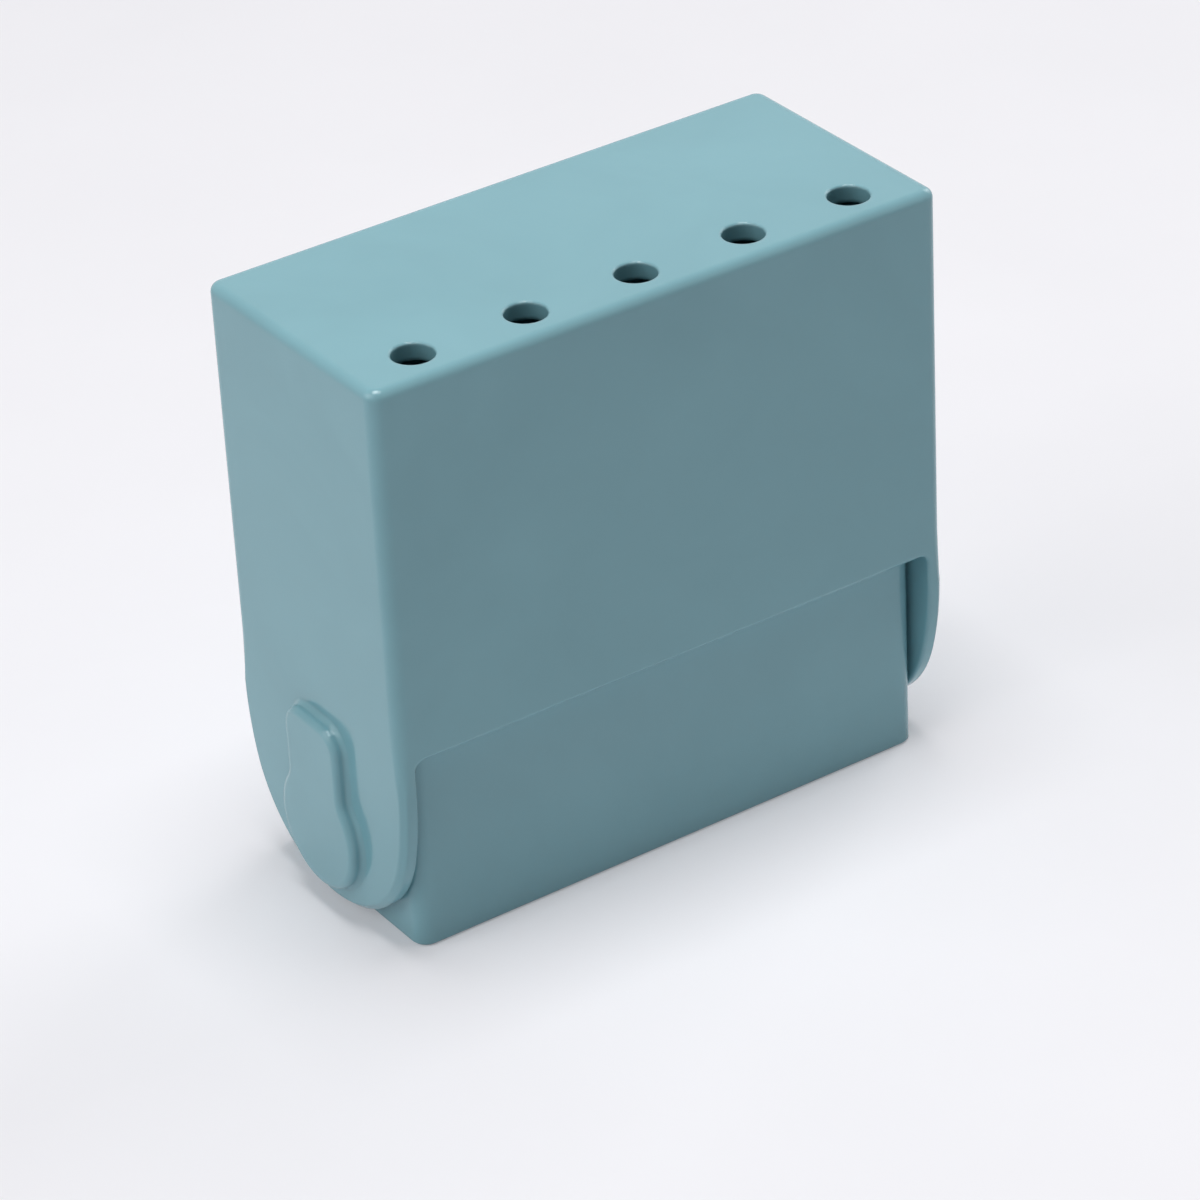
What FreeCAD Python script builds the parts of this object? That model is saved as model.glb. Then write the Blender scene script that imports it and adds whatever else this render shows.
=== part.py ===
import FreeCAD, Part
import math
import os

# Travel soap box: a tray that holds the bar on its edge, and a deep cover that hangs on two
# pivot pins in the tray's end walls. The pin tips ride in keyhole tracks in the cover's cheeks,
# so the cover is drawn up and swung forward until it lies in front of the tray.
# Millimetres, +Z up, front towards -Y, origin at the middle of the tray's foot.

# Overall sizes
cover_width = 100.0            # across the cheeks, without the keyhole bosses
cover_depth = 45.0             # front face to back face
box_height = 97.4              # foot of the tray to the top of the cover
wall = 2.8                     # cover wall
overrun = 1.0                  # how far every cutting tool runs past the face it opens
same_plane = 0.0001            # edges this near to a plane lie in it

# Cover
corner_radius = 2.1            # upright outside edges, above the cheeks
fillet_wall_share = 0.98       # most of the free wall that a corner's rounding may take
top_edge_radius = 1.5          # edge round the top
inside_radius = 1.2            # upright edges inside the cover
inside_chamfer = 0.8           # edge round the inside of the top
panel_edge_height = 35.3       # lower edge of the front and back panels, above the foot
panel_edge_chamfer = 0.3       # broken edge along the foot of the panels and down the cheeks
cutout_corner_radius = 1.6     # where a panel's lower edge turns down into a cheek
cheek_lift = 1.2               # gap between the rounded cheek ends and the table
cheek_rise = 6.7               # from the middle of the round end up to where the cheeks curve in
cheek_end_tuck = 0.9           # how much less than half the depth the cheek end's radius is
cheek_rim_chamfer = 0.9        # outside rim of the cheeks' round ends
corner_run_out = 9.0           # height over which the rim turns into the rounded upright edges

# Vent holes in the top
vent_count = 5
vent_diameter = 6.5
vent_pitch = 19.25
vent_setback = 6.9             # from the front face to the row of hole centres
vent_rim_chamfer = 0.2

# Keyhole bosses on the cheeks: a narrow slot above a round lobe
boss_height = 2.1              # stands out from the cheek
boss_wall = 2.2                # plastic round the track inside the boss
boss_skin = 2.0                # plastic left over the end of the track
boss_edge_radius = 1.0
boss_foot_chamfer = 0.6
slot_half_width = 7.1
slot_top_drop = 1.5            # from the panels' lower edge down to the top of the slot
slot_corner_radius = 4.0
lobe_radius = 9.9
lobe_margin = 2.5              # cheek left below the foot of the lobe
neck_radius = 4.0              # hollow between slot and lobe

# Tray
tray_gap = 0.6                 # clearance to the cover on every side
tray_wall = 2.2
tray_floor = 2.5
tray_corner_radius = 2.6
tray_foot_chamfer = 0.4
shoulder_gap = 0.4             # between the tray's shoulder and the panels above it
lip_height = 2.0               # lip that stands up inside the cover
lip_inset = 0.9                # how far the lip stands back from the tray's outside
foot_rim_width = 4.0           # the tray stands on a rim round a shallow recess
foot_recess_depth = 0.8
rib_count = 9                  # drain ribs across the floor, under the bar
rib_width = 1.8
rib_height = 2.0
rib_chamfer_share = 0.25       # of a rib's width, for the broken edges round its top
rib_pitch = 9.2
rib_end_gap = 2.5              # water runs along the walls past the rib ends

# Pivot pins
pin_play = 0.2                 # side play of a pin in its track
pin_running_clearance = 0.06   # radial, in the bore of the tray
pin_head_overhang = 2.1        # head beyond the shank, all round
pin_head_thickness = 1.6
pin_seat_clearance = 0.1       # under the head, and beside the snap bead
pin_tip_clearance = 0.3        # between the tip and the end of the track
pin_tip_chamfer = 0.6
pin_bead_height = 0.35         # snap bead that keeps the pin in the wall
pin_bead_width = 0.35
pin_split_width = 1.2          # saw cut that lets the tip close while it is pushed home

# Places that follow from the sizes above
half_width = cover_width / 2
half_depth = cover_depth / 2
inner_half_width = half_width - wall
inner_half_depth = half_depth - wall
corner_round = min(corner_radius, (wall - panel_edge_chamfer) * fillet_wall_share)
cheek_end_radius = half_depth - cheek_end_tuck
cheek_end_height = cheek_lift + cheek_end_radius
cheek_curve_height = cheek_end_height + cheek_rise
cheek_side_radius = (half_depth ** 2 + cheek_rise ** 2 - cheek_end_radius ** 2) / (2 * cheek_end_tuck)
cheek_side_middle = half_depth - cheek_side_radius
tray_half_width = inner_half_width - tray_gap
tray_half_depth = inner_half_depth - tray_gap
shoulder_height = panel_edge_height - shoulder_gap
lip_top_height = shoulder_height + lip_height
slot_top_height = panel_edge_height - slot_top_drop
lobe_height = cheek_lift + lobe_margin + boss_foot_chamfer + lobe_radius
track_depth = wall + boss_height - boss_skin
track_half_width = slot_half_width - boss_wall
pin_radius = track_half_width - pin_play
pin_height = slot_top_height - boss_wall - pin_play - pin_radius
pin_head_radius = pin_radius + pin_head_overhang
bore_radius = pin_radius + pin_running_clearance
lift_travel = pin_height - lobe_height

X_AXIS = FreeCAD.Vector(1, 0, 0)
Z_AXIS = FreeCAD.Vector(0, 0, 1)


def centred_box(width, depth, bottom, top):
    """A box standing on `bottom`, centred on the Z axis."""
    corner = FreeCAD.Vector(-width / 2, -depth / 2, bottom)
    return Part.makeBox(width, depth, top - bottom, corner)


def upright_edges(block):
    """The edges of a block that stand upright."""
    return [edge for edge in block.Edges if abs(edge.tangentAt(edge.FirstParameter).z) == 1]


def rounded_box(width, depth, bottom, top, radius):
    """A centred box with its four upright edges rounded."""
    block = centred_box(width, depth, bottom, top)
    return block.makeFillet(radius, upright_edges(block))


def edges_in_plane(shape, axis, place):
    """The edges of a shape that lie wholly in one plane square to an axis."""
    return [
        edge for edge in shape.Edges if not edge.Degenerated
        and all(abs(point.dot(axis) - place) < same_plane for point in edge.discretize(Number=5))
    ]


def cross_rod(radius, start, end, height):
    """A round rod along X at a given height."""
    return Part.makeCylinder(radius, end - start, FreeCAD.Vector(start, 0, height), X_AXIS)


def keyhole(offset, start, end):
    """A keyhole-shaped block along X, its outline moved outwards by `offset`."""
    side = slot_half_width + offset
    lobe = lobe_radius + offset
    top = slot_top_height + offset
    corner = slot_corner_radius + offset
    neck = neck_radius - offset
    neck_y = side + neck
    neck_z = lobe_height + math.sqrt((lobe + neck) ** 2 - neck_y ** 2)
    lobe_share = lobe / (lobe + neck)
    touch_y = neck_y * lobe_share
    touch_z = lobe_height + (neck_z - lobe_height) * lobe_share
    neck_turn = math.atan2(neck_z - lobe_height, neck_y) / 2
    corner_middle = corner * (1 - math.sqrt(1 / 2))

    def spot(y, z):
        return FreeCAD.Vector(start, y, z)

    def mirrored(sign):
        """The straight side, the hollow neck and the round corner on one side."""
        turn = Part.Arc(
            spot(sign * (side - corner), top),
            spot(sign * (side - corner_middle), top - corner_middle),
            spot(sign * side, top - corner),
        )
        straight = Part.LineSegment(spot(sign * side, top - corner), spot(sign * side, neck_z))
        hollow = Part.Arc(
            spot(sign * side, neck_z),
            spot(sign * (neck_y - neck * math.cos(neck_turn)), neck_z - neck * math.sin(neck_turn)),
            spot(sign * touch_y, touch_z),
        )
        return [turn, straight, hollow]

    crown = Part.LineSegment(spot(corner - side, top), spot(side - corner, top))
    round_end = Part.Arc(spot(touch_y, touch_z), spot(0, lobe_height - lobe), spot(-touch_y, touch_z))
    curves = [crown, round_end] + mirrored(1) + mirrored(-1)
    outline = Part.Wire(Part.__sortEdges__([curve.toShape() for curve in curves]))
    return Part.Face(outline).extrude(X_AXIS * (end - start))


def section(block, height):
    """The outline of a block where a level plane meets its foot or its top."""
    return Part.Wire(Part.__sortEdges__(edges_in_plane(block, Z_AXIS, height)))


def cheek_end():
    """The foot of the cover's outside: slightly bowed sides that run into a round end."""
    touch_share = cheek_side_radius / (cheek_side_radius - cheek_end_radius)
    touch_y = cheek_side_middle * (1 - touch_share)
    touch_z = cheek_curve_height - cheek_rise * touch_share
    bow = math.asin((cheek_curve_height - touch_z) / cheek_side_radius) / 2
    bow_y = cheek_side_middle + cheek_side_radius * math.cos(bow)
    bow_z = cheek_curve_height - cheek_side_radius * math.sin(bow)

    def spot(y, z):
        return FreeCAD.Vector(-half_width, y, z)

    def side(sign):
        return Part.Arc(
            spot(sign * half_depth, cheek_curve_height), spot(sign * bow_y, bow_z),
            spot(sign * touch_y, touch_z))

    curves = [
        Part.LineSegment(spot(-half_depth, cheek_curve_height), spot(half_depth, cheek_curve_height)),
        side(1), side(-1), Part.Arc(spot(touch_y, touch_z), spot(0, cheek_lift), spot(-touch_y, touch_z)),
    ]
    outline = Part.Wire(Part.__sortEdges__([curve.toShape() for curve in curves]))
    block = Part.Face(outline).extrude(X_AXIS * cover_width)
    rims = [
        edge for place in (half_width, -half_width)
        for edge in edges_in_plane(block, X_AXIS, place)
        if edge.BoundBox.ZLength > same_plane
    ]
    return block.makeChamfer(cheek_rim_chamfer, rims)


def cover_block():
    """The outside of the cover: a soft box whose corners tighten into the round cheek ends."""
    corner_start = cheek_curve_height + corner_run_out
    upper = rounded_box(cover_width, cover_depth, corner_start, box_height, corner_round)
    rim = centred_box(cover_width, cover_depth, cheek_curve_height, corner_start)
    rim = rim.makeChamfer(cheek_rim_chamfer, upright_edges(rim))
    outlines = [section(rim, cheek_curve_height), section(upper, corner_start)]
    run_out = Part.makeLoft(outlines, True, True)
    upper = upper.makeFillet(top_edge_radius, edges_in_plane(upper, Z_AXIS, box_height))
    return upper.fuse(run_out).fuse(cheek_end()).removeSplitter()


def cover_cavity():
    """The room inside the cover, open at its foot."""
    ceiling = box_height - wall
    cavity = rounded_box(
        2 * inner_half_width, 2 * inner_half_depth, cheek_lift - overrun, ceiling, inside_radius)
    return cavity.makeChamfer(inside_chamfer, edges_in_plane(cavity, Z_AXIS, ceiling))


def panel_cutout():
    """The opening below the front and back panels, between the two cheeks."""
    block = centred_box(
        2 * inner_half_width, cover_depth + 2 * overrun, cheek_lift - overrun, panel_edge_height)
    upper = [
        edge for edge in edges_in_plane(block, Z_AXIS, panel_edge_height)
        if abs(edge.tangentAt(edge.FirstParameter).y) == 1
    ]
    return block.makeFillet(cutout_corner_radius, upper)


def opening_edges(cover):
    """The outside edges round the opening: along both panels and round both cheek ends."""
    def outside(point):
        drop = cheek_curve_height - point.z
        flat = abs(point.y) - half_depth
        bowed = math.hypot(abs(point.y) - cheek_side_middle, drop) - cheek_side_radius
        rounded = math.hypot(point.y, cheek_end_height - point.z) - cheek_end_radius
        return min(abs(flat), abs(bowed), abs(rounded)) < same_plane

    return [
        edge for edge in cover.Edges if not edge.Degenerated
        and max(abs(edge.BoundBox.XMin), abs(edge.BoundBox.XMax)) < inner_half_width + same_plane
        and edge.BoundBox.ZMax < panel_edge_height + same_plane
        and all(outside(point) for point in edge.discretize(Number=5))
    ]


def add_boss(cover, sign):
    """Raise a keyhole boss on one cheek, blend its foot and sink the pin's track inside it."""
    face = sign * half_width
    inner_face = sign * inner_half_width
    boss = keyhole(0, face, face + sign * boss_height)
    foot_outline = Part.makeCompound(edges_in_plane(boss, X_AXIS, face))
    boss = boss.makeFillet(boss_edge_radius, edges_in_plane(boss, X_AXIS, face + sign * boss_height))
    cover = cover.fuse(boss).removeSplitter()
    foot = [
        edge for edge in edges_in_plane(cover, X_AXIS, face)
        if edge.distToShape(foot_outline)[0] < same_plane
    ]
    cover = cover.makeChamfer(boss_foot_chamfer, foot)
    return cover.cut(keyhole(-boss_wall, inner_face - sign * overrun, inner_face + sign * track_depth))


def make_cover():
    """The deep cover with its vents, cheeks, keyhole bosses and tracks."""
    cover = cover_block().cut(cover_cavity()).cut(panel_cutout())
    cover = cover.makeChamfer(panel_edge_chamfer, opening_edges(cover))
    for sign in (1, -1):
        cover = add_boss(cover, sign)
    for index in range(vent_count):
        across = (index - (vent_count - 1) / 2) * vent_pitch
        place = FreeCAD.Vector(across, vent_setback - half_depth, box_height - wall - overrun)
        cover = cover.cut(Part.makeCylinder(vent_diameter / 2, wall + 2 * overrun, place))
    rims = [edge for edge in edges_in_plane(cover, Z_AXIS, box_height) if edge.isClosed()]
    return cover.makeChamfer(vent_rim_chamfer, rims)


def make_tray():
    """The tray: shoulder and lip under the cover, drain ribs, foot rim and two pin bores."""
    body = rounded_box(2 * tray_half_width, 2 * tray_half_depth, 0, shoulder_height, tray_corner_radius)
    body = body.makeChamfer(tray_foot_chamfer, edges_in_plane(body, Z_AXIS, 0))
    lip = rounded_box(
        2 * (tray_half_width - lip_inset), 2 * (tray_half_depth - lip_inset),
        tray_floor, lip_top_height, tray_corner_radius - lip_inset)
    room_half_width = tray_half_width - tray_wall
    room_half_depth = tray_half_depth - tray_wall
    room = rounded_box(
        2 * room_half_width, 2 * room_half_depth, tray_floor, lip_top_height + overrun,
        tray_corner_radius - tray_wall)
    recess = rounded_box(
        2 * (tray_half_width - foot_rim_width), 2 * (tray_half_depth - foot_rim_width),
        -overrun, foot_recess_depth, tray_corner_radius)
    tray = body.fuse(lip).cut(room).cut(recess)
    rib_length = 2 * (room_half_depth - rib_end_gap)
    for index in range(rib_count):
        rib = centred_box(rib_width, rib_length, foot_recess_depth, tray_floor + rib_height)
        top = edges_in_plane(rib, Z_AXIS, tray_floor + rib_height)
        rib = rib.makeChamfer(rib_width * rib_chamfer_share, top)
        rib.translate(X_AXIS * (index - (rib_count - 1) / 2) * rib_pitch)
        tray = tray.fuse(rib)
    bore = cross_rod(bore_radius, -half_width, half_width, pin_height)
    return tray.cut(bore).removeSplitter()


def make_pin():
    """A headed pin for the right-hand wall: head inside the tray, split tip in the track."""
    wall_inside = tray_half_width - tray_wall
    head_face = wall_inside - pin_seat_clearance
    tip = inner_half_width + track_depth - pin_tip_clearance
    bead_start = tray_half_width + pin_seat_clearance
    shank = cross_rod(pin_radius, head_face, tip, pin_height)
    shank = shank.makeChamfer(pin_tip_chamfer, edges_in_plane(shank, X_AXIS, tip))
    head = cross_rod(pin_head_radius, head_face - pin_head_thickness, head_face, pin_height)
    bead = cross_rod(pin_radius + pin_bead_height, bead_start, bead_start + pin_bead_width, pin_height)
    split = Part.makeBox(
        tip + overrun - wall_inside, pin_split_width, 2 * (pin_radius + pin_bead_height + overrun),
        FreeCAD.Vector(wall_inside, -pin_split_width / 2,
                       pin_height - pin_radius - pin_bead_height - overrun))
    return shank.fuse(head).fuse(bead).cut(split).removeSplitter()


def main():
    """Build every piece and write one STEP file for each."""
    os.makedirs("parts", exist_ok=True)
    right_pin = make_pin()
    middle = FreeCAD.Vector(0, 0, 0)
    pieces = {
        "cover": make_cover(),
        "tray": make_tray(),
        "pivot_pin_right": right_pin,
        "pivot_pin_left": right_pin.mirror(middle, X_AXIS),
    }
    for name, shape in pieces.items():
        solid = shape.Solids[0]
        solid.exportStep("parts/" + name + ".step")
        print(name, len(shape.Solids), "solid, volume", round(solid.Volume), "valid", solid.isValid())
    print("pin height", round(pin_height, 3), "lift travel", round(lift_travel, 3))


main()
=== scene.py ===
"""Dresses the travel soap box: moulded plastic finishes, moulding marks, studio light and camera.

The solids of the tray, the cover and the two pivot pins come from the frame and stay as they are.
Lengths are metres, given through the MM factor; +Z is up and the front looks towards -Y.
"""
from __future__ import annotations

import logging
import math
from dataclasses import dataclass, field
from enum import Enum

import bmesh
import bpy
from mathutils import Matrix, Quaternion, Vector


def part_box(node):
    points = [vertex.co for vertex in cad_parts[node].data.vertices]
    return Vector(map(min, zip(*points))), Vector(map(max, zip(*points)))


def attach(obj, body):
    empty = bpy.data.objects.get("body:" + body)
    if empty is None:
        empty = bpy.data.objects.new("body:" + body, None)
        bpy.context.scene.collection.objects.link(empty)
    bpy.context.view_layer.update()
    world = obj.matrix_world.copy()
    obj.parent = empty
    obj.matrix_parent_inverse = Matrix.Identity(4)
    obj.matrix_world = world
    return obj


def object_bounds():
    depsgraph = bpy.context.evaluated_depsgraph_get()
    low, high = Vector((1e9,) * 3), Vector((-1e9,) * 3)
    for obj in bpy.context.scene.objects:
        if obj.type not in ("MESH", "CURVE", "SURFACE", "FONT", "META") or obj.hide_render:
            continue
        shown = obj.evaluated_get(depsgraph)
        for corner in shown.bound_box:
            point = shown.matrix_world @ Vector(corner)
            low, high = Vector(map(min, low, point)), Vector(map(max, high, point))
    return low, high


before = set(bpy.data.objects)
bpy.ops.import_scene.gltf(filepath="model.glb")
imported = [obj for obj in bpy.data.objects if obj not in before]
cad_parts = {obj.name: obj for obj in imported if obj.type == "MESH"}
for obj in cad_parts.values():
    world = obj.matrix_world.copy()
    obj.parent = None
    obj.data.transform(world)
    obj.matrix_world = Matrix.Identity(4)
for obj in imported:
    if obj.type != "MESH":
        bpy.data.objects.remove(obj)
CAD_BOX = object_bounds()

MM = 0.001
LOG = logging.getLogger("soap_box")

# Noise lies mostly between these values, so colours and gloss run from one to the other.
NOISE_LOW = 0.3
NOISE_HIGH = 0.7
# Swirled clouds, as the melt leaves them in a moulding.
FLOW_NOISE = {"Detail": 3.0, "Roughness": 0.55, "Distortion": 0.6}
# Small even clouds, as a roller leaves them in paint.
PAINT_NOISE = {"Detail": 4.0}

# Points of a turned piece that are closer than this become one.
MERGE_DISTANCE = 0.001 * MM
UPSIDE_DOWN = Matrix.Rotation(math.pi, 4, "X")


class Body(Enum):
    """The bodies that carry moulding marks."""

    TRAY = "tray"
    COVER = "cover"


class Slot(Enum):
    """Names of the record's material slots for the cover and the tray; nothing in the script uses them.
    """

    COVER = "cover_plastic"
    TRAY = "tray_plastic"


def linear(hex_colour: str) -> tuple[float, float, float, float]:
    """Turn an sRGB hex colour into linear light.

    Args:
        hex_colour: Six hex digits with a leading hash.

    Returns:
        Linear red, green and blue, and an alpha of one.
    """
    channels = []
    for start in (1, 3, 5):
        value = int(hex_colour[start:start + 2], 16) / 255
        channels.append(value / 12.92 if value <= 0.04045 else ((value + 0.055) / 1.055) ** 2.4)
    return (channels[0], channels[1], channels[2], 1.0)


def add_node(tree: bpy.types.NodeTree, kind: str, settings: dict | None = None,
             inputs: dict | None = None) -> bpy.types.Node:
    """Add one shader node, set it up and link it.

    Args:
        tree: The node tree that gets the node.
        kind: Blender's class name of the node.
        settings: Attributes of the node, by name.
        inputs: Input sockets by name or number; an output socket is linked, any other value is set.

    Returns:
        The new node.
    """
    node = tree.nodes.new(kind)
    for name, value in (settings or {}).items():
        setattr(node, name, value)
    for name, value in (inputs or {}).items():
        if isinstance(value, bpy.types.NodeSocket):
            tree.links.new(value, node.inputs[name])
        else:
            node.inputs[name].default_value = value
    return node


def new_material(name: str) -> bpy.types.Material:
    """Make an empty node material.

    Args:
        name: The material's name.

    Returns:
        The material, with a cleared node tree.
    """
    material = bpy.data.materials.new(name)
    material.use_nodes = True
    material.node_tree.nodes.clear()
    return material


def cloudy_colour(tree: bpy.types.NodeTree, place: bpy.types.NodeSocket, size: float,
                  character: dict[str, float], hexes: tuple[str, str]) -> bpy.types.NodeSocket:
    """Mix two shades of a colour in soft clouds.

    Args:
        tree: The material's node tree.
        place: The coordinates that the clouds follow.
        size: How far apart the clouds lie.
        character: The noise's other inputs, by name.
        hexes: The darker and the lighter shade.

    Returns:
        The socket with the colour.
    """
    clouds = add_node(tree, "ShaderNodeTexNoise", {}, {
        "Vector": place, "Scale": 1 / size, **character})
    ramp = add_node(tree, "ShaderNodeValToRGB", {}, {"Fac": clouds.outputs["Fac"]})
    for stop, position, shade in zip(ramp.color_ramp.elements, (NOISE_LOW, NOISE_HIGH), hexes):
        stop.position = position
        stop.color = linear(shade)
    return ramp.outputs["Color"]


def seen_or_mirrored(tree: bpy.types.NodeTree) -> bpy.types.NodeSocket:
    """Tell rays that look at a surface or mirror it from rays that light the box.

    Args:
        tree: The node tree that asks.

    Returns:
        A socket that is one for seen, mirrored and transmitted rays and zero for diffuse light.
    """
    path = add_node(tree, "ShaderNodeLightPath")
    direct = add_node(tree, "ShaderNodeMath", {"operation": "MAXIMUM"}, {
        0: path.outputs["Is Camera Ray"], 1: path.outputs["Is Glossy Ray"]})
    either = add_node(tree, "ShaderNodeMath", {"operation": "MAXIMUM"}, {
        0: direct.outputs["Value"], 1: path.outputs["Is Transmission Ray"]})
    return either.outputs["Value"]


@dataclass(frozen=True)
class MouldedPlastic:
    """A plastic from an injection mould.

    The melt leaves faint flow clouds in the colour. Walls draw in a little as they cool, so a
    mirrored edge is never quite straight, handling leaves patches of softer gloss, and no edge of
    a moulding is knife-sharp.
    """

    name: str
    light_hex: str
    dark_hex: str
    ior: float
    gloss_roughness: float
    dull_roughness: float
    grain_height: float = 0.0
    grain_size: float = 0.6 * MM
    grain_detail: float = 2.0
    cloud_size: float = 34 * MM
    wave_size: float = 17 * MM
    wave_height: float = 0.012 * MM
    wave_detail: float = 1.0
    handled_size: float = 28 * MM
    handled_detail: float = 1.0
    edge_radius: float = 0.8 * MM
    edge_samples: int = 6
    scatter_depth: float = 0.9 * MM
    scatter_share: float = 0.06
    scatter_spread: tuple[float, float, float] = (0.6, 1.0, 1.1)

    def material(self) -> bpy.types.Material:
        """Build the finish.

        Returns:
            A node material with cloudy colour, handled gloss and a slightly wavy, soft-edged surface.
        """
        material = new_material(self.name)
        tree = material.node_tree
        place = add_node(tree, "ShaderNodeTexCoord").outputs["Object"]
        colour = cloudy_colour(
            tree, place, self.cloud_size, FLOW_NOISE, (self.dark_hex, self.light_hex))
        handled = add_node(tree, "ShaderNodeTexNoise", {}, {
            "Vector": place, "Scale": 1 / self.handled_size, "Detail": self.handled_detail})
        gloss = add_node(tree, "ShaderNodeMapRange", {}, {
            "Value": handled.outputs["Fac"], "From Min": NOISE_LOW, "From Max": NOISE_HIGH,
            "To Min": self.gloss_roughness, "To Max": self.dull_roughness})
        shader = add_node(tree, "ShaderNodeBsdfPrincipled", {}, {
            "Base Color": colour, "Roughness": gloss.outputs["Result"],
            "IOR": self.ior, "Normal": self.surface(tree, place),
            "Subsurface Weight": self.scatter_share, "Subsurface Radius": self.scatter_spread,
            "Subsurface Scale": self.scatter_depth})
        add_node(tree, "ShaderNodeOutputMaterial", {}, {"Surface": shader.outputs["BSDF"]})
        return material

    def surface(self, tree: bpy.types.NodeTree, place: bpy.types.NodeSocket) -> bpy.types.NodeSocket:
        """Shape the skin of the plastic: soft edges, shrink waves and the grain of the tool.

        Args:
            tree: The material's node tree.
            place: The coordinates that the waves and the grain follow.

        Returns:
            The normal for the shader.
        """
        edges = add_node(tree, "ShaderNodeBevel", {"samples": self.edge_samples}, {
            "Radius": self.edge_radius})
        layers = [(self.wave_size, self.wave_height, self.wave_detail)]
        if self.grain_height:
            layers.append((self.grain_size, self.grain_height, self.grain_detail))
        normal = edges.outputs["Normal"]
        for size, height, detail in layers:
            noise = add_node(tree, "ShaderNodeTexNoise", {}, {
                "Vector": place, "Scale": 1 / size, "Detail": detail})
            bump = add_node(tree, "ShaderNodeBump", {}, {
                "Height": noise.outputs["Fac"], "Strength": 1.0, "Distance": height, "Normal": normal})
            normal = bump.outputs["Normal"]
        return normal


# Polypropylene from a polished tool: an even gloss that mirrors the pale table and room softly.
COVER_PLASTIC = MouldedPlastic(
    "polypropylene_polished_mould_cover", light_hex="#7EAEB8", dark_hex="#79A8B2", ior=1.49,
    gloss_roughness=0.09, dull_roughness=0.13)
# The same plastic from a tool with a little less polish, its mirrored edges softer. Its colour is
# painted a shade paler than the cover's to stand in for light, as the tray stands in the shade under
# the cover.
TRAY_PLASTIC = MouldedPlastic(
    "polypropylene_polished_mould_tray_painted_paler", light_hex="#82B2BC", dark_hex="#7DACB6", ior=1.49,
    gloss_roughness=0.11, dull_roughness=0.16)
# Acetal from a spark-eroded tool: a darker shade of the tint, drier to the eye. The real grain is
# too fine to show, so it is drawn coarser.
PIN_PLASTIC = MouldedPlastic(
    "acetal_eroded_mould_pin", light_hex="#6E9CA8", dark_hex="#6896A2", ior=1.48,
    gloss_roughness=0.38, dull_roughness=0.48, grain_height=0.003 * MM)


@dataclass(frozen=True)
class PaintedBoard:
    """The pale board that the box stands on: rolled matt paint with a faint mottle."""

    name: str = "matt_paint_rolled_board"
    light_hex: str = "#F2F1F5"
    dark_hex: str = "#F0EFF3"
    ior: float = 1.5
    roughness: float = 0.62
    mottle_size: float = 60 * MM
    glow_share: float = 0.25

    def material(self) -> bpy.types.Material:
        """Build the finish; a share of it glows where it is seen or mirrored, so shadows stay light.

        Returns:
            A node material for the floor.
        """
        material = new_material(self.name)
        tree = material.node_tree
        place = add_node(tree, "ShaderNodeTexCoord").outputs["Object"]
        colour = cloudy_colour(
            tree, place, self.mottle_size, PAINT_NOISE, (self.dark_hex, self.light_hex))
        paint = add_node(tree, "ShaderNodeBsdfPrincipled", {}, {
            "Base Color": colour, "Roughness": self.roughness, "IOR": self.ior})
        glow = add_node(tree, "ShaderNodeEmission", {}, {"Color": colour})
        share = add_node(tree, "ShaderNodeMath", {"operation": "MULTIPLY"}, {
            0: seen_or_mirrored(tree), 1: self.glow_share})
        both = add_node(tree, "ShaderNodeMixShader", {}, {
            "Fac": share.outputs["Value"], 1: paint.outputs["BSDF"], 2: glow.outputs["Emission"]})
        add_node(tree, "ShaderNodeOutputMaterial", {}, {"Surface": both.outputs["Shader"]})
        return material


def dress_node(name: str, material: bpy.types.Material) -> None:
    """Give a solid of the frame its finish.

    Args:
        name: The node's name.
        material: The finish for every slot of its mesh.
    """
    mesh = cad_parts[name].data
    mesh.materials.clear()
    mesh.materials.append(material)
    LOG.info("dressed %s in %s", name, material.name)


def turned_piece(name: str, profile: list[tuple[float, float]], segments: int) -> bpy.types.Object:
    """Turn a profile round the Z axis into a closed piece.

    Args:
        name: The new piece's name.
        profile: Radius and height of each point, from the axis outwards and back to the axis.
        segments: Steps round the axis.

    Returns:
        The new object, linked to the scene.
    """
    shape = bmesh.new()
    points = [shape.verts.new((radius, 0, height)) for radius, height in profile]
    edges = [shape.edges.new(pair) for pair in zip(points, points[1:])]
    bmesh.ops.spin(
        shape, geom=points + edges, axis=(0, 0, 1), cent=(0, 0, 0), angle=2 * math.pi,
        steps=segments, use_merge=True)
    bmesh.ops.remove_doubles(shape, verts=shape.verts, dist=MERGE_DISTANCE)
    bmesh.ops.recalc_face_normals(shape, faces=shape.faces)
    mesh = bpy.data.meshes.new(name)
    shape.to_mesh(mesh)
    shape.free()
    mesh.polygons.foreach_set("use_smooth", [True] * len(mesh.polygons))
    piece = bpy.data.objects.new(name, mesh)
    bpy.context.scene.collection.objects.link(piece)
    return piece


def seat(piece: bpy.types.Object, place: Vector, body: Body,
         material: bpy.types.Material) -> None:
    """Turn a new piece to hang down and put it in its place, on its body and in its finish.

    Args:
        piece: The new object.
        place: Where its own origin goes.
        body: The body that it rides on.
        material: The finish.
    """
    piece.data.transform(UPSIDE_DOWN)
    piece.location = place
    piece.data.materials.append(material)
    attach(piece, body.value)
    LOG.info("seated %s on %s", piece.name, body.value)


@dataclass
class EjectorMark:
    """The shallow ring that an ejector pin leaves in a moulding."""

    radius: float
    height: float = 0.12 * MM
    ring: float = 0.25 * MM
    segments: int = 40

    def build(self, name: str) -> bpy.types.Object:
        """Make one mark: a disc sunk inside a fine raised ring.

        Args:
            name: The new piece's name.

        Returns:
            The new object, standing at the origin.
        """
        sunk = self.height / 3
        profile = [
            (0, sunk), (self.radius - self.ring, sunk), (self.radius - self.ring / 2, self.height),
            (self.radius, self.height), (self.radius + self.ring / 2, 0), (0, 0)]
        return turned_piece(name, profile, self.segments)


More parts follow.
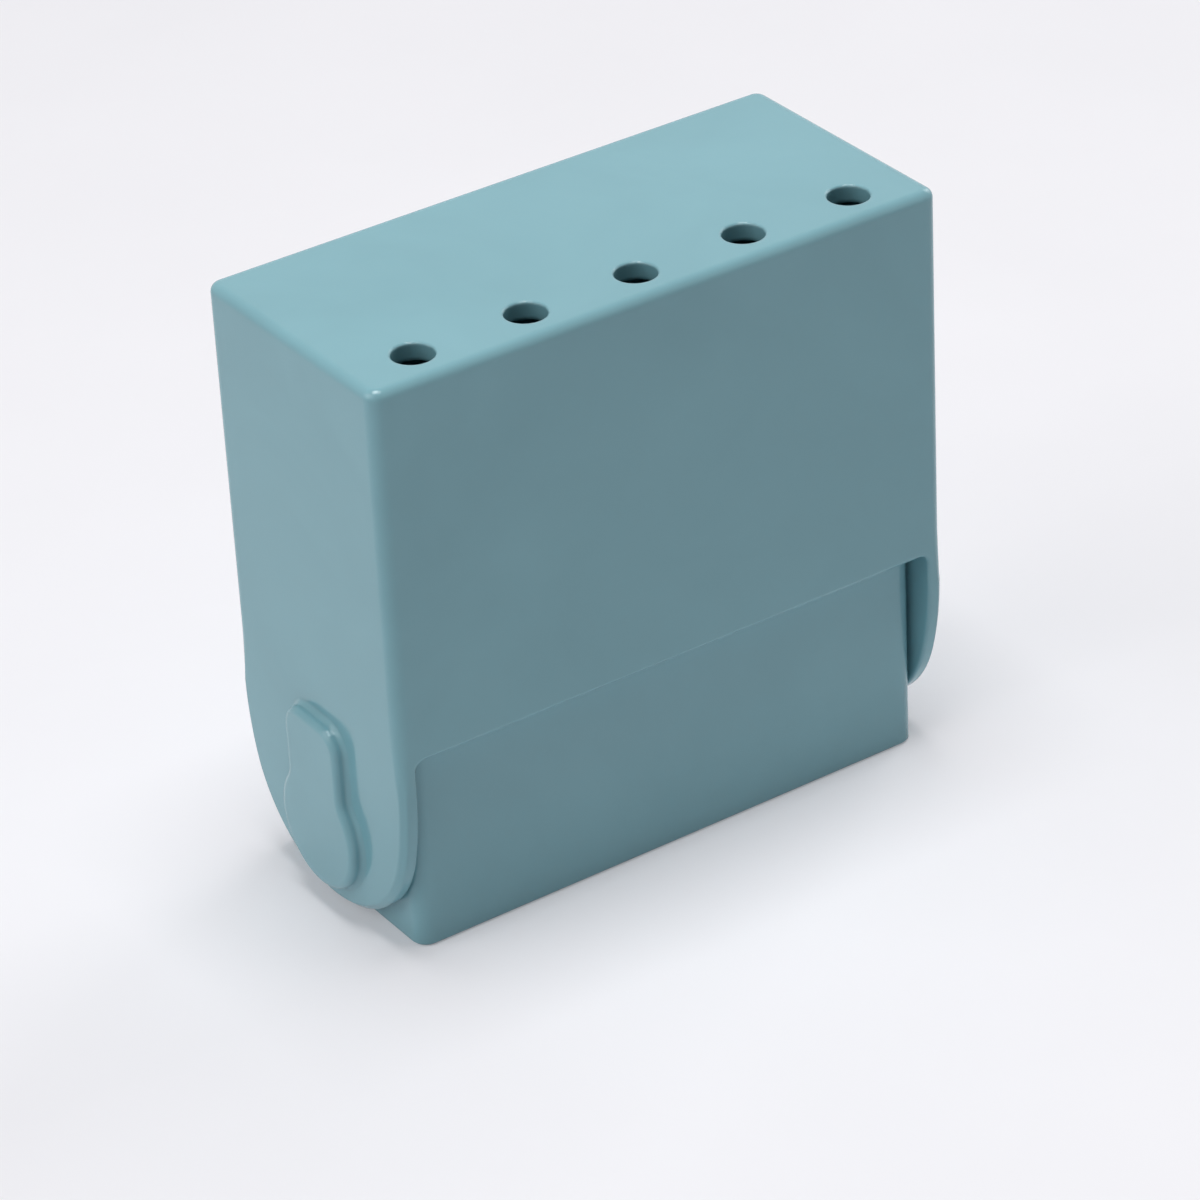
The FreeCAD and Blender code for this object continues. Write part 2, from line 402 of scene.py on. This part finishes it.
@dataclass
class GateStub:
    """The stub where the melt came in: a low cone with a twisted-off tip."""

    radius: float = 2.4 * MM
    height: float = 0.5 * MM
    section: tuple[tuple[float, float], ...] = (
        (0, 1), (1 / 6, 0.94), (1 / 3, 0.7), (1.3 / 3, 0.4), (0.9, 0.3), (1, 0.15), (1, 0), (0, 0))
    segments: int = 40

    def build(self, name: str) -> bpy.types.Object:
        """Make the stub from its section, which is in shares of its radius and height.

        Args:
            name: The new piece's name.

        Returns:
            The new object, standing at the origin.
        """
        profile = [(out * self.radius, up * self.height) for out, up in self.section]
        return turned_piece(name, profile, self.segments)


@dataclass
class Tray:
    """The tray that holds the bar, with the marks of its mould under the foot."""

    gate: GateStub = field(default_factory=GateStub)
    ejector: EjectorMark = field(default_factory=lambda: EjectorMark(radius=2.5 * MM))
    recess_depth: float = 0.8 * MM
    ejector_inset_x: float = 9.5 * MM
    ejector_inset_y: float = 8.5 * MM

    def build(self, material: bpy.types.Material) -> None:
        """Make the gate stub and the ejector marks in the recess under the foot.

        Args:
            material: The tray's plastic.
        """
        low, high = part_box("tray")
        level = low.z + self.recess_depth
        stub = self.gate.build("tray_gate_stub")
        seat(stub, Vector((0, 0, level)), Body.TRAY, material)
        reach_x = high.x - self.ejector_inset_x
        reach_y = high.y - self.ejector_inset_y
        for side, across in (("left", -1), ("right", 1)):
            for end, along in (("front", -1), ("back", 1)):
                mark = self.ejector.build(f"tray_ejector_mark_{side}_{end}")
                place = Vector((across * reach_x, along * reach_y, level))
                seat(mark, place, Body.TRAY, material)

    def dress(self, material: bpy.types.Material) -> None:
        """Give the tray's solid its plastic."""
        dress_node("tray", material)


@dataclass
class Cover:
    """The deep vented cover, with ejector marks under its top."""

    ejector: EjectorMark = field(default_factory=lambda: EjectorMark(radius=3.0 * MM))
    wall: float = 2.8 * MM
    rows: int = 2
    columns: int = 3
    column_pitch: float = 34 * MM
    row_pitch: float = 15 * MM
    row_shift: float = 4.0 * MM

    def build(self, material: bpy.types.Material) -> None:
        """Make the ejector marks under the top, clear of the row of vents.

        Args:
            material: The cover's plastic.
        """
        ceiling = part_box("cover")[1].z - self.wall
        for row in range(self.rows):
            for column in range(self.columns):
                mark = self.ejector.build(f"cover_ejector_mark_{row + 1}_{column + 1}")
                place = Vector((
                    (column - (self.columns - 1) / 2) * self.column_pitch,
                    (row - (self.rows - 1) / 2) * self.row_pitch + self.row_shift, ceiling))
                seat(mark, place, Body.COVER, material)

    def dress(self, material: bpy.types.Material) -> None:
        """Give the cover's solid its plastic."""
        dress_node("cover", material)


@dataclass
class PivotPins:
    """The two headed pins that the cover swings on."""

    nodes: tuple[str, str] = ("pivot_pin_left", "pivot_pin_right")

    def dress(self, material: bpy.types.Material) -> None:
        """Give both pins their plastic."""
        for name in self.nodes:
            dress_node(name, material)


@dataclass
class SoftBox:
    """A white lamp with a rectangular diffuser, aimed at the box."""

    name: str
    place: tuple[float, float, float]
    width: float
    height: float
    power: float

    def build(self, target: Vector) -> None:
        """Hang the lamp.

        Args:
            target: The point that it looks at.
        """
        lamp = bpy.data.lights.new(self.name, "AREA")
        lamp.shape = "RECTANGLE"
        lamp.size = self.width
        lamp.size_y = self.height
        lamp.energy = self.power
        holder = bpy.data.objects.new(self.name, lamp)
        holder.location = self.place
        holder.rotation_mode = "QUATERNION"
        holder.rotation_quaternion = (target - holder.location).to_track_quat("-Z", "Y")
        bpy.context.scene.collection.objects.link(holder)


@dataclass
class Studio:
    """The pale floor, the soft lamps and the pale room round them."""

    floor_size: float = 6.0
    room_hex: str = "#F4F6FA"
    room_seen: float = 0.9
    room_light: float = 0.05
    lamps: tuple[SoftBox, ...] = (
        SoftBox("overhead_softbox", (0.0, -0.02, 1.3), width=0.6, height=0.6, power=11.8),
        SoftBox("overhead_left_softbox", (-0.9, -0.2, 1.1), width=0.7, height=0.7, power=1.7),
        SoftBox("left_softbox", (-1.3, 0.3, 0.8), width=1.2, height=1.0, power=7.0),
        SoftBox("right_softbox", (1.3, 0.3, 0.9), width=0.8, height=0.8, power=6.5),
        SoftBox("front_right_softbox", (1.1, -1.1, 0.6), width=0.8, height=0.8, power=0.5),
    )

    def build(self, target: Vector) -> None:
        """Lay the floor, light the room and hang the lamps.

        Args:
            target: The point that the lamps look at.
        """
        self.lay_floor()
        self.light_room()
        for lamp in self.lamps:
            lamp.build(target)
            LOG.info("hung %s", lamp.name)

    def lay_floor(self) -> None:
        """Lay the board under the box."""
        half = self.floor_size / 2
        corners = [(-half, -half, 0), (half, -half, 0), (half, half, 0), (-half, half, 0)]
        mesh = bpy.data.meshes.new("floor_board")
        mesh.from_pydata(corners, [], [(0, 1, 2, 3)])
        mesh.materials.append(PaintedBoard().material())
        floor = bpy.data.objects.new("floor_board", mesh)
        floor.location.z = CAD_BOX[0].z
        bpy.context.scene.collection.objects.link(floor)
        LOG.info("laid %s", floor.name)

    def light_room(self) -> None:
        """Fill the room: pale where it is seen or mirrored, dim as a light of its own."""
        world = bpy.data.worlds.new("studio_room")
        world.use_nodes = True
        tree = world.node_tree
        tree.nodes.clear()
        colour = linear(self.room_hex)
        lit = add_node(tree, "ShaderNodeBackground", {}, {
            "Color": colour, "Strength": self.room_light})
        seen = add_node(tree, "ShaderNodeBackground", {}, {
            "Color": colour, "Strength": self.room_seen})
        room = add_node(tree, "ShaderNodeMixShader", {}, {
            "Fac": seen_or_mirrored(tree), 1: lit.outputs["Background"], 2: seen.outputs["Background"]})
        add_node(tree, "ShaderNodeOutputWorld", {}, {"Surface": room.outputs["Shader"]})
        bpy.context.scene.world = world


@dataclass
class PhotoCamera:
    """The camera at the photograph's viewing angle, from a pinhole fitted to the photograph."""

    eye: tuple[float, float, float] = (-368.7 * MM, -565.9 * MM, 443.1 * MM)
    heading: float = math.radians(33.157)
    elevation: float = math.radians(31.172)
    roll: float = math.radians(-3.040)
    focal_pixels: float = 5155.6
    picture_pixels: float = 1200
    sensor: float = 36.0
    near_clip: float = 10 * MM

    def build(self) -> None:
        """Set up the camera; the focal length follows from its share of the picture's width."""
        lens = bpy.data.cameras.new("photo_camera")
        lens.sensor_width = self.sensor
        lens.lens = self.sensor * (self.focal_pixels / self.picture_pixels)
        lens.clip_start = self.near_clip
        camera = bpy.data.objects.new("photo_camera", lens)
        level = math.cos(self.elevation)
        forward = Vector((
            math.sin(self.heading) * level, math.cos(self.heading) * level, -math.sin(self.elevation)))
        camera.rotation_mode = "QUATERNION"
        camera.rotation_quaternion = (
            forward.to_track_quat("-Z", "Y") @ Quaternion((0, 0, 1), self.roll))
        camera.location = self.eye
        bpy.context.scene.collection.objects.link(camera)
        bpy.context.scene.camera = camera
        LOG.info("set up %s", camera.name)


def main() -> None:
    """Build and dress the box, then set up the studio and the camera."""
    logging.basicConfig(level=logging.INFO, format="%(name)s: %(message)s")
    bpy.context.scene.view_settings.view_transform = "Standard"
    cover_plastic = COVER_PLASTIC.material()
    tray_plastic = TRAY_PLASTIC.material()
    tray = Tray()
    tray.build(tray_plastic)
    tray.dress(tray_plastic)
    PivotPins().dress(PIN_PLASTIC.material())
    cover = Cover()
    cover.build(cover_plastic)
    cover.dress(cover_plastic)
    Studio().build((CAD_BOX[0] + CAD_BOX[1]) / 2)
    PhotoCamera().build()


if __name__ == "__main__":
    main()
